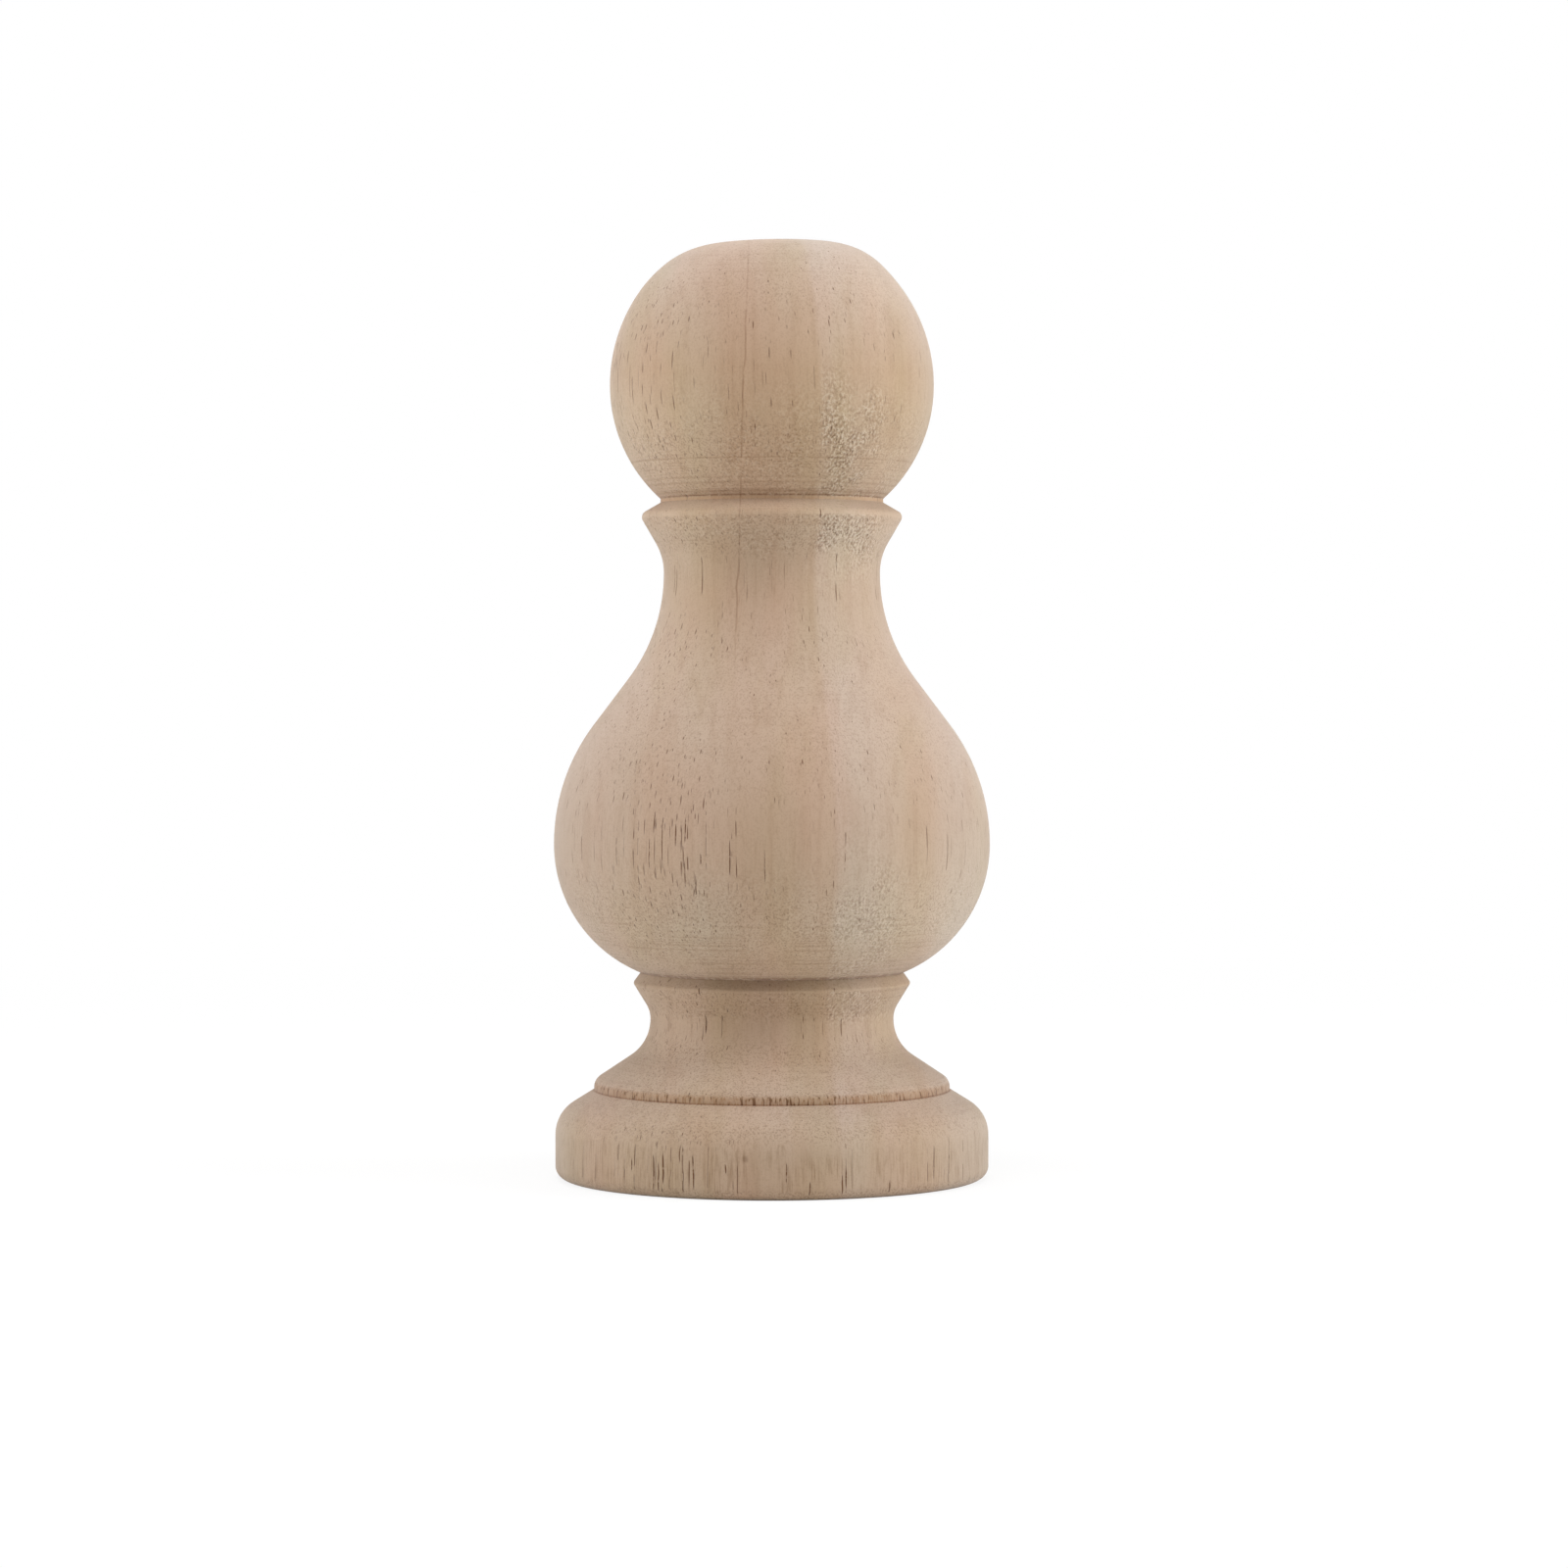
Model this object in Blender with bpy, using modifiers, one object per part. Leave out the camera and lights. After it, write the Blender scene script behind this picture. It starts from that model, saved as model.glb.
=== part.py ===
"""Ball finial for a newel post, turned from one block of raw hardwood.

Metres, +Z up. The origin is the centre of the seat, the flat face that stands on the post. The outline is one
profile, as a lathe cuts it: ball, upper collar, vase, lower collar, flare, step, ledge and base. Each of these
has its own height, and the heights stack up from the seat to 160 mm. The screw hole is bored on the same axis.
"""

import math

import bpy
from mathutils import Vector

# Base: an upright side with a rounded foot round the seat
BASE_DIAMETER = 0.0743
BASE_HEIGHT = 0.00755
FOOT_ROUNDING = 0.0022

# Screw hole: bored up from the seat, with the cone that the drill's point leaves
HOLE_DIAMETER = 0.010
HOLE_DEPTH = 0.035
DRILL_POINT_ANGLE = math.radians(118)

# Ledge: the base's rounded shoulder, in to the foot of the step
LEDGE_WIDTH = 0.00665
LEDGE_HEIGHT = 0.0076
LEDGE_STRAIGHT_SHARE = 0.43

# Step: the short upright edge under the flare
STEP_HEIGHT = 0.0005

# Flare: out from the waist to the step, hollow at first, with a small round nose
WAIST_DIAMETER = 0.0417
FLARE_HEIGHT = 0.01165
FLARE_STRAIGHT_SHARE = 0.42
FLARE_HOLLOW_SHARE = 0.785

# Lower collar: a cove above the waist, a rim, and a bevel up to the groove under the vase
LOWER_COVE_HEIGHT = 0.0062
LOWER_COVE_STRAIGHT_SHARE = 0.62
LOWER_RIM_WIDTH = 0.00295
LOWER_RIM_ROUNDING = 0.00055
LOWER_BEVEL_HEIGHT = 0.0018
LOWER_GROOVE_DEPTH = 0.0013

# Vase: one arc from its groove out to the belly, then a long shoulder in to the neck
VASE_FOOT_HEIGHT = 0.022
BELLY_DIAMETER = 0.0747
VASE_SHOULDER_HEIGHT = 0.0464
VASE_STRAIGHT_SHARE = 0.198
VASE_HOLLOW_SHARE = 0.47
NECK_DIAMETER = 0.0370

# Upper collar: a cove above the neck, a rim, a bevel, and an upright groove under the ball
UPPER_COVE_HEIGHT = 0.0099
UPPER_COVE_STRAIGHT_SHARE = 0.52
UPPER_RIM_WIDTH = 0.00415
UPPER_RIM_ROUNDING = 0.0011
UPPER_BEVEL_HEIGHT = 0.0021
UPPER_GROOVE_DEPTH = 0.0036
UPPER_GROOVE_HEIGHT = 0.00065

# Ball: one arc up from its groove to the middle, then round, with its top cut off to a low crown
BALL_LOWER_HEIGHT = 0.01935
BALL_DIAMETER = 0.0554
BALL_TOP_CUT = 0.0034
BALL_EDGE_ROUNDING = 0.0142
CROWN_RADIUS = 0.317

# Facets: how many go round the axis, and how far an arc may bulge past one or turn along it
FACETS_ROUND = 64
FACET_SAG = 0.00005
FACET_TURN = math.radians(24)
SHARP_FROM = math.radians(28)
WELD_DISTANCE = 0.00001

# Raw wood, in linear colour
WOOD_COLOUR = (0.54, 0.40, 0.29, 1.0)
WOOD_ROUGHNESS = 0.72
WOOD_METALLIC = 0.0


def clear_scene():
    for old in list(bpy.data.objects):
        bpy.data.objects.remove(old, do_unlink=True)


def facets_in(radius, turn):
    """How many flat facets stand in for an arc."""
    facet = FACET_TURN
    if radius > FACET_SAG:
        facet = min(facet, 2 * math.acos(1 - FACET_SAG / radius))
    return max(1, math.ceil(abs(turn) / facet))


def arc(centre, radius, first, last):
    """Points round centre, from the angle first to the angle last."""
    count = facets_in(radius, last - first)
    angles = [first + (last - first) * step / count for step in range(count + 1)]
    return [centre + radius * Vector((math.cos(angle), math.sin(angle))) for angle in angles]


def bend(corner, radius, turn, outward, upward):
    """Points on an arc that leaves corner upright and turns outward, both ways given as signs."""
    count = facets_in(radius, turn)
    angles = [turn * step / count for step in range(count + 1)]
    return [
        corner + radius * Vector((outward * (1 - math.cos(angle)), upward * math.sin(angle)))
        for angle in angles
    ]


def sweep(start, end, straight_share=0.0, start_share=1.0):
    """An arc that leaves start upright, a line tangent to it, and a second arc that meets end upright.

    straight_share is the line's share of the distance between the two points. Only one sum of the two radii
    then joins all three smoothly, and start_share is the first radius's part of it. At 1 there is no second
    arc, and the line or the first arc runs into end at a slant.
    """
    out, up = end - start
    if out == 0:
        return [start, end]
    distance = math.hypot(out, up)
    line = straight_share * distance
    radii = (distance ** 2 - line ** 2) / (2 * abs(out))
    turn = math.atan2(abs(up), radii - abs(out)) - math.atan2(line, radii)
    outward = math.copysign(1, out)
    upward = math.copysign(1, up)
    points = bend(start, start_share * radii, turn, outward, upward)
    if start_share < 1:
        points += reversed(bend(end, (1 - start_share) * radii, turn, -outward, -upward))
    elif line > 0:
        points.append(end)
    return points


def rounded(before, corner, after, radius):
    """An arc in place of a corner, tangent to both its lines and at most half as long as the shorter one."""
    back = before - corner
    ahead = after - corner
    half_angle = back.angle(ahead) / 2
    cut = min(radius / math.tan(half_angle), back.length / 2, ahead.length / 2)
    radius = cut * math.tan(half_angle)
    start = corner + cut * back.normalized()
    end = corner + cut * ahead.normalized()
    centre = corner + (start + end - 2 * corner).normalized() * radius / math.sin(half_angle)
    first = math.atan2(*reversed(start - centre))
    last = math.atan2(*reversed(end - centre))
    turn = math.remainder(last - first, 2 * math.pi)
    return arc(centre, radius, first, first + turn)


def ball(foot):
    """Down the ball, from the crown's centre on the axis to the groove."""
    radius = BALL_DIAMETER / 2
    middle = foot.y + BALL_LOWER_HEIGHT
    rounding = min(BALL_EDGE_ROUNDING, radius - BALL_TOP_CUT)
    crown_centre = middle + radius - BALL_TOP_CUT - CROWN_RADIUS
    # The rounding touches the crown's circle and the ball's from inside, which sets its centre.
    from_crown = CROWN_RADIUS - rounding
    from_ball = radius - rounding
    apart = middle - crown_centre
    above_crown_centre = (from_crown ** 2 - from_ball ** 2 + apart ** 2) / (2 * apart)
    from_axis = math.sqrt(from_crown ** 2 - above_crown_centre ** 2)
    on_crown = math.atan2(above_crown_centre, from_axis)
    on_ball = math.atan2(above_crown_centre - apart, from_axis)
    edge_centre = Vector((from_axis, crown_centre + above_crown_centre))
    points = arc(Vector((0, crown_centre)), CROWN_RADIUS, math.pi / 2, on_crown)
    points += arc(edge_centre, rounding, on_crown, on_ball)
    points += arc(Vector((0, middle)), radius, on_ball, 0)
    points += sweep(Vector((radius, middle)), foot)
    return points


def collar(groove, rim, waist, straight_share, rounding):
    """Down a collar: out of the groove along its bevel, round the rim, and in down the cove to the waist."""
    cove = list(reversed(sweep(waist, rim, straight_share)))
    return [groove] + rounded(groove, rim, cove[1], rounding) + cove[1:]


def base(ledge, side):
    """Down the base: over the ledge, down the side, round the foot, in over the seat and up the hole."""
    hole = HOLE_DIAMETER / 2
    point_height = hole / math.tan(DRILL_POINT_ANGLE / 2)
    hole_mouth = Vector((hole, 0))
    points = list(reversed(sweep(side, ledge, LEDGE_STRAIGHT_SHARE)))
    points += rounded(side, Vector((side.x, 0)), hole_mouth, FOOT_ROUNDING)
    points += [hole_mouth, Vector((hole, HOLE_DEPTH)), Vector((0, HOLE_DEPTH + point_height))]
    return points


def finial_profile():
    """The outline as (distance from the axis, height above the seat), from the crown down and up the hole."""
    side = Vector((BASE_DIAMETER / 2, BASE_HEIGHT))
    ledge = side + Vector((-LEDGE_WIDTH, LEDGE_HEIGHT))
    step = ledge + Vector((0, STEP_HEIGHT))
    waist = Vector((WAIST_DIAMETER / 2, step.y + FLARE_HEIGHT))
    lower_rim = waist + Vector((LOWER_RIM_WIDTH, LOWER_COVE_HEIGHT))
    lower_groove = lower_rim + Vector((-LOWER_GROOVE_DEPTH, LOWER_BEVEL_HEIGHT))
    belly = Vector((BELLY_DIAMETER / 2, lower_groove.y + VASE_FOOT_HEIGHT))
    neck = Vector((NECK_DIAMETER / 2, belly.y + VASE_SHOULDER_HEIGHT))
    upper_rim = neck + Vector((UPPER_RIM_WIDTH, UPPER_COVE_HEIGHT))
    upper_groove = upper_rim + Vector((-UPPER_GROOVE_DEPTH, UPPER_BEVEL_HEIGHT))
    ball_foot = upper_groove + Vector((0, UPPER_GROOVE_HEIGHT))

    points = ball(ball_foot)
    points += collar(upper_groove, upper_rim, neck, UPPER_COVE_STRAIGHT_SHARE, UPPER_RIM_ROUNDING)
    points += sweep(neck, belly, VASE_STRAIGHT_SHARE, VASE_HOLLOW_SHARE)
    points += sweep(belly, lower_groove)
    points += collar(lower_groove, lower_rim, waist, LOWER_COVE_STRAIGHT_SHARE, LOWER_RIM_ROUNDING)
    points += sweep(waist, step, FLARE_STRAIGHT_SHARE, FLARE_HOLLOW_SHARE)
    points += base(ledge, side)
    return points


def without_repeats(points):
    """The points with each one left out that lies where the one before it does."""
    kept = points[:1]
    for point in points[1:]:
        if (point - kept[-1]).length > WELD_DISTANCE:
            kept.append(point)
    return kept


def turned(name, points, collection):
    """A solid made by turning the profile once round the axis, smooth but for its sharp rings."""
    outline = bpy.data.meshes.new(name)
    edges = [(index, index + 1) for index in range(len(points) - 1)]
    outline.from_pydata([(point.x, 0, point.y) for point in points], edges, [])
    piece = bpy.data.objects.new(name, outline)
    collection.objects.link(piece)
    lathe = piece.modifiers.new("Lathe", "SCREW")
    lathe.axis = "Z"
    lathe.angle = 2 * math.pi
    lathe.steps = FACETS_ROUND
    lathe.render_steps = FACETS_ROUND
    lathe.use_merge_vertices = True
    lathe.merge_threshold = WELD_DISTANCE
    graph = bpy.context.evaluated_depsgraph_get()
    solid = bpy.data.meshes.new_from_object(piece.evaluated_get(graph))
    solid.shade_smooth()
    solid.set_sharp_from_angle(angle=SHARP_FROM)
    piece.modifiers.remove(lathe)
    piece.data = solid
    bpy.data.meshes.remove(outline)
    return piece


def raw_wood():
    material = bpy.data.materials.new("raw_wood")
    material.use_nodes = True
    material.diffuse_color = WOOD_COLOUR
    shader = material.node_tree.nodes["Principled BSDF"]
    shader.inputs["Base Color"].default_value = WOOD_COLOUR
    shader.inputs["Roughness"].default_value = WOOD_ROUGHNESS
    shader.inputs["Metallic"].default_value = WOOD_METALLIC
    return material


def main():
    clear_scene()
    collection = bpy.data.collections.new("ball_finial")
    bpy.context.scene.collection.children.link(collection)
    finial = turned("turned_finial", without_repeats(finial_profile()), collection)
    finial.data.materials.append(raw_wood())


main()
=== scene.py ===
# %% [markdown]
# # A turned ball finial in raw wood
# A finial is the ornament on top of a stair's newel post. This one is a single block of pale hardwood that
# was spun on a lathe and cut with gouges: ball, collar, vase, collar, flare and base share one axis. It was
# never stained or varnished, so the colour of the wood, its pores and the marks of the tool are all there is
# to see. This lesson repeats the outline as a formula, turns it with Geometry Nodes, and grows the wood
# through it as a solid texture, the way the real piece was cut out of a tree.

# %% Load the fixed frame
import math

import bpy
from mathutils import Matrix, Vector


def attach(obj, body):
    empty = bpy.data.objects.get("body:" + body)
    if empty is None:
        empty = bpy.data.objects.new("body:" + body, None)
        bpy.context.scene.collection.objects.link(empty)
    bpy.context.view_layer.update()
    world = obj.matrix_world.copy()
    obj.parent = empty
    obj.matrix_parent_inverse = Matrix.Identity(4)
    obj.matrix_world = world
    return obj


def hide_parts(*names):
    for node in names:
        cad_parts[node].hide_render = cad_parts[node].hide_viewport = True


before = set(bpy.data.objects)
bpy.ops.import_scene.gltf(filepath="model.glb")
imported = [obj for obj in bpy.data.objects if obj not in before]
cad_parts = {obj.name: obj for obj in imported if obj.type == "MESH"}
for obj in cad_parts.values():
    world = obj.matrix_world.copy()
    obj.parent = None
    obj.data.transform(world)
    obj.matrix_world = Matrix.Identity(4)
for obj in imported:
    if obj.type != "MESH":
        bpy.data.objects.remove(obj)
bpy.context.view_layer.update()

MM = 0.001


# %% [markdown]
# ## The sizes
# A turner works from a short list of heights and diameters, measured with a rule and calipers. The same list
# drives the solid model, so it is repeated here. Heights stack up from the seat, the flat face on the post.

# %% Sizes of the turned outline
BASE_DIAMETER = 74.3 * MM
BASE_HEIGHT = 7.55 * MM
FOOT_ROUNDING = 2.2 * MM
HOLE_DIAMETER = 10 * MM
HOLE_DEPTH = 35 * MM
DRILL_POINT_ANGLE = math.radians(118)
LEDGE_WIDTH = 6.65 * MM
LEDGE_HEIGHT = 7.6 * MM
LEDGE_STRAIGHT_SHARE = 0.43
STEP_HEIGHT = 0.5 * MM
WAIST_DIAMETER = 41.7 * MM
FLARE_HEIGHT = 11.65 * MM
FLARE_STRAIGHT_SHARE = 0.42
FLARE_HOLLOW_SHARE = 0.785
LOWER_COVE_HEIGHT = 6.2 * MM
LOWER_COVE_STRAIGHT_SHARE = 0.62
LOWER_RIM_WIDTH = 2.95 * MM
LOWER_RIM_ROUNDING = 0.55 * MM
LOWER_BEVEL_HEIGHT = 1.8 * MM
LOWER_GROOVE_DEPTH = 1.3 * MM
VASE_FOOT_HEIGHT = 22 * MM
BELLY_DIAMETER = 74.7 * MM
VASE_SHOULDER_HEIGHT = 46.4 * MM
VASE_STRAIGHT_SHARE = 0.198
VASE_HOLLOW_SHARE = 0.47
NECK_DIAMETER = 37 * MM
UPPER_COVE_HEIGHT = 9.9 * MM
UPPER_COVE_STRAIGHT_SHARE = 0.52
UPPER_RIM_WIDTH = 4.15 * MM
UPPER_RIM_ROUNDING = 1.1 * MM
UPPER_BEVEL_HEIGHT = 2.1 * MM
UPPER_GROOVE_DEPTH = 3.6 * MM
UPPER_GROOVE_HEIGHT = 0.65 * MM
BALL_LOWER_HEIGHT = 19.35 * MM
BALL_DIAMETER = 55.4 * MM
BALL_TOP_CUT = 3.4 * MM
BALL_EDGE_ROUNDING = 14.2 * MM
CROWN_RADIUS = 317 * MM
for name, size in (("ball", BALL_DIAMETER), ("belly", BELLY_DIAMETER), ("base", BASE_DIAMETER)):
    print(f"{name}: {size / MM:.1f} mm across")

# %% [markdown]
# ## The camera
# The photo looks along +Y from about three quarters of a metre away, a little above the middle of the
# finial, so the base shows its ledge and the ball hides its crown. Fitting the turned outline to the photo's
# edges gave the distance and height. The photo has its horizon above the middle and its axis left of it.
# Aiming the camera a touch down and to the right does the same as a lens shift, and leaves the other views
# centred.

# %% Camera at the photo's viewing angle
PHOTO_SIDE = 1600
PHOTO_FOCAL_LENGTH = 4606
PHOTO_AXIS_X = 787.15
PHOTO_HORIZON_Y = 689.0
CAMERA_DISTANCE = 773.8 * MM
CAMERA_HEIGHT = 86.1 * MM
PHOTO_CENTRE = (PHOTO_SIDE - 1) / 2
SENSOR_WIDTH = 36

camera_data = bpy.data.cameras.new("photo_camera")
camera_data.sensor_width = SENSOR_WIDTH
camera_data.lens = SENSOR_WIDTH * PHOTO_FOCAL_LENGTH / PHOTO_SIDE
camera = bpy.data.objects.new("photo_camera", camera_data)
bpy.context.scene.collection.objects.link(camera)
camera.location = (0, -CAMERA_DISTANCE, CAMERA_HEIGHT)
down = math.atan((PHOTO_CENTRE - PHOTO_HORIZON_Y) / PHOTO_FOCAL_LENGTH)
right = math.atan((PHOTO_CENTRE - PHOTO_AXIS_X) / PHOTO_FOCAL_LENGTH)
camera.rotation_euler = (math.pi / 2 - down, 0, -right)
bpy.context.scene.camera = camera
print(f"lens {camera_data.lens:.1f} mm, aimed {math.degrees(down):.2f} degrees down")

# %% [markdown]
# ## The outline as lines and arcs
# The long curves of a turned piece leave a bead or a waist upright, where the outline is neither widening
# nor narrowing. So one function makes most of them: an arc that starts upright, a straight stretch, and a
# second arc that ends upright. This is the classic ogee, and some of the curves stop before its end. An arc
# gets as many points as keep its facets within six thousandths of a millimetre of the curve.

# %% Arcs, sweeps and rounded corners
FACET_SAG = 0.006 * MM
FACET_TURN = math.radians(8)
LINE_STEP = 1.5 * MM


def facets_in(radius, turn):
    """How many flat facets stand in for an arc."""
    facet = FACET_TURN
    if radius > FACET_SAG:
        facet = min(facet, 2 * math.acos(1 - FACET_SAG / radius))
    return max(2, math.ceil(abs(turn) / facet))


def arc(centre, radius, first, last):
    """Points round centre, from the angle first to the angle last."""
    count = facets_in(radius, last - first)
    angles = [first + (last - first) * step / count for step in range(count + 1)]
    return [centre + radius * Vector((math.cos(angle), math.sin(angle))) for angle in angles]


def bend(corner, radius, turn, outward, upward):
    """Points on an arc that leaves corner upright and turns outward, both ways given as signs."""
    count = facets_in(radius, turn)
    angles = [turn * step / count for step in range(count + 1)]
    return [
        corner + radius * Vector((outward * (1 - math.cos(angle)), upward * math.sin(angle)))
        for angle in angles
    ]


def sweep(start, end, straight_share=0.0, start_share=1.0):
    """An arc that leaves start upright, a tangent line, and a second arc that meets end upright.

    The line's length is a share of the distance. Only one sum of the two radii then joins all three smoothly,
    and start_share is the first radius's part of it. At 1 there is no second arc.
    """
    out, up = end - start
    if out == 0:
        return [start, end]
    distance = math.hypot(out, up)
    line = straight_share * distance
    radii = (distance ** 2 - line ** 2) / (2 * abs(out))
    turn = math.atan2(abs(up), radii - abs(out)) - math.atan2(line, radii)
    outward = math.copysign(1, out)
    upward = math.copysign(1, up)
    points = bend(start, start_share * radii, turn, outward, upward)
    if start_share < 1:
        points += reversed(bend(end, (1 - start_share) * radii, turn, -outward, -upward))
    elif line > 0:
        points.append(end)
    return points


def rounded(before, corner, after, radius):
    """An arc in place of a corner, tangent to both its lines and at most half as long as the shorter one."""
    back = before - corner
    ahead = after - corner
    half_angle = back.angle(ahead) / 2
    cut = min(radius / math.tan(half_angle), back.length / 2, ahead.length / 2)
    radius = cut * math.tan(half_angle)
    start = corner + cut * back.normalized()
    end = corner + cut * ahead.normalized()
    centre = corner + (start + end - 2 * corner).normalized() * radius / math.sin(half_angle)
    first = math.atan2(*reversed(start - centre))
    last = math.atan2(*reversed(end - centre))
    turn = math.remainder(last - first, 2 * math.pi)
    return arc(centre, radius, first, first + turn)


print("a quarter turn of the belly takes", facets_in(BELLY_DIAMETER / 2, math.pi / 2), "facets")

# %% [markdown]
# ## The parts of the outline
# The outline is listed from the crown down. The ball is round, with its top cut off to a low crown. Each
# collar is a groove, a short bevel, a crisp rim and a cove. The base has a rounded ledge, a short upright
# side, a softened foot, and a hole for the dowel that joins it to the post.

# %% Ball, collars and base


def ball(foot):
    """Down the ball, from the crown's centre on the axis to the groove."""
    radius = BALL_DIAMETER / 2
    middle = foot.y + BALL_LOWER_HEIGHT
    crown_centre = middle + radius - BALL_TOP_CUT - CROWN_RADIUS
    # The rounding touches the crown's circle and the ball's from inside, which sets its centre.
    from_crown = CROWN_RADIUS - BALL_EDGE_ROUNDING
    from_ball = radius - BALL_EDGE_ROUNDING
    apart = middle - crown_centre
    above_crown_centre = (from_crown ** 2 - from_ball ** 2 + apart ** 2) / (2 * apart)
    from_axis = math.sqrt(from_crown ** 2 - above_crown_centre ** 2)
    on_crown = math.atan2(above_crown_centre, from_axis)
    on_ball = math.atan2(above_crown_centre - apart, from_axis)
    edge_centre = Vector((from_axis, crown_centre + above_crown_centre))
    points = arc(Vector((0, crown_centre)), CROWN_RADIUS, math.pi / 2, on_crown)
    points += arc(edge_centre, BALL_EDGE_ROUNDING, on_crown, on_ball)
    points += arc(Vector((0, middle)), radius, on_ball, 0)
    points += sweep(Vector((radius, middle)), foot)
    return points


def collar(groove, rim, waist, straight_share, rounding):
    """Down a collar: out of the groove along its bevel, round the rim, and in down the cove to the waist."""
    cove = list(reversed(sweep(waist, rim, straight_share)))
    return [groove] + rounded(groove, rim, cove[1], rounding) + cove[1:]


def base(ledge, side):
    """Down the base: over the ledge, down the side, round the foot, in over the seat and up the hole."""
    hole = HOLE_DIAMETER / 2
    point_height = hole / math.tan(DRILL_POINT_ANGLE / 2)
    hole_mouth = Vector((hole, 0))
    points = list(reversed(sweep(side, ledge, LEDGE_STRAIGHT_SHARE)))
    points += rounded(side, Vector((side.x, 0)), hole_mouth, FOOT_ROUNDING)
    points += [hole_mouth, Vector((hole, HOLE_DEPTH)), Vector((0, HOLE_DEPTH + point_height))]
    return points


# %% [markdown]
# ## The whole outline
# The corners are stacked from the seat up, each one measured from the one below, so a change of one height
# moves all that stands on it. The outline then runs the other way, from the crown down, which lets the skin
# face outwards. Long straight stretches get points in between, because the facing that the wood reads is
# stored at the points.

# %% The whole outline
REPEAT_WITHIN = 0.01 * MM

base_side = Vector((BASE_DIAMETER / 2, BASE_HEIGHT))
ledge_top = base_side + Vector((-LEDGE_WIDTH, LEDGE_HEIGHT))
step_top = ledge_top + Vector((0, STEP_HEIGHT))
waist = Vector((WAIST_DIAMETER / 2, step_top.y + FLARE_HEIGHT))
lower_rim = waist + Vector((LOWER_RIM_WIDTH, LOWER_COVE_HEIGHT))
lower_groove = lower_rim + Vector((-LOWER_GROOVE_DEPTH, LOWER_BEVEL_HEIGHT))
belly = Vector((BELLY_DIAMETER / 2, lower_groove.y + VASE_FOOT_HEIGHT))
neck = Vector((NECK_DIAMETER / 2, belly.y + VASE_SHOULDER_HEIGHT))
upper_rim = neck + Vector((UPPER_RIM_WIDTH, UPPER_COVE_HEIGHT))
upper_groove = upper_rim + Vector((-UPPER_GROOVE_DEPTH, UPPER_BEVEL_HEIGHT))
ball_foot = upper_groove + Vector((0, UPPER_GROOVE_HEIGHT))

outline = ball(ball_foot)
outline += collar(upper_groove, upper_rim, neck, UPPER_COVE_STRAIGHT_SHARE, UPPER_RIM_ROUNDING)
outline += sweep(neck, belly, VASE_STRAIGHT_SHARE, VASE_HOLLOW_SHARE)
outline += sweep(belly, lower_groove)
outline += collar(lower_groove, lower_rim, waist, LOWER_COVE_STRAIGHT_SHARE, LOWER_RIM_ROUNDING)
outline += sweep(waist, step_top, FLARE_STRAIGHT_SHARE, FLARE_HOLLOW_SHARE)
outline += base(ledge_top, base_side)


def evenly_filled(points, spacing):
    """The points without repeats, and with more of them along any stretch that is longer than spacing."""
    filled = points[:1]
    for point in points[1:]:
        length = (point - filled[-1]).length
        if length < REPEAT_WITHIN:
            continue
        count = math.ceil(length / spacing)
        start = filled[-1]
        filled += [start.lerp(point, step / count) for step in range(1, count + 1)]
    return filled


outline = evenly_filled(outline, LINE_STEP)
print(f"outline: {len(outline)} points, {outline[0].y / MM:.1f} mm high, {2 * belly.x / MM:.1f} mm across")

# %% [markdown]
# ## A few lines to write node trees
# Geometry and shader trees are both built from script here. One helper adds a node, sets its options, and
# fills its inputs with values or with other nodes' outputs, so that a tree reads like a list of steps. An
# output knows which tree it belongs to, so the helpers that work on outputs needn't be told.

# %% Node helpers


def add_node(tree, kind, inputs=None, **options):
    """Adds a node of the kind. inputs maps a socket's name or number to a value or to an output to link."""
    new = tree.nodes.new(kind)
    for name, value in options.items():
        setattr(new, name, value)
    for key, value in (inputs or {}).items():
        socket = new.inputs[key]
        if isinstance(value, bpy.types.NodeSocket):
            tree.links.new(value, socket)
        else:
            socket.default_value = value
    return new


def tree_of(*values):
    """The node tree that the first output among the values belongs to."""
    return next(value.id_data for value in values if isinstance(value, bpy.types.NodeSocket))


def calc(operation, *values):
    """Adds a Math node beside the values and returns its output."""
    inputs = dict(enumerate(values))
    return add_node(tree_of(*values), "ShaderNodeMath", inputs, operation=operation).outputs[0]


# %% [markdown]
# ## The lathe
# A lathe turns one outline round an axis, and a Geometry Nodes tree can do just that. A grid supplies the
# faces. Each row of the grid takes the radius and height of one outline point, and each column takes an
# angle. The seam and the two poles are then merged, which leaves one closed skin. A Screw modifier would
# turn it too, but the tree lets the crown lean a little, as it does in the photo.

# %% The lathe tree
FACETS_ROUND = 320
WELD_DISTANCE = 0.004 * MM
SHARP_FROM = math.radians(24)
CROWN_LEAN = 0.018
CROWN_SINK = CROWN_RADIUS * CROWN_LEAN ** 2 / 2
CROWN_LEAN_FROM = 152 * MM

LATHE_INPUTS = {"Geometry": "Geometry", "Facets": "Int", "Weld": "Float", "Sharp From": "Float",
                "Crown Lean": "Float", "Crown Sink": "Float", "Lean From": "Float", "Top": "Float",
                "Wood": "Material"}


def add_sockets(tree, in_out, kinds):
    """Gives a tree its inputs or outputs, each with its kind, such as Float or Vector."""
    for name, kind in kinds.items():
        tree.interface.new_socket(name, in_out=in_out, socket_type="NodeSocket" + kind)


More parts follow.
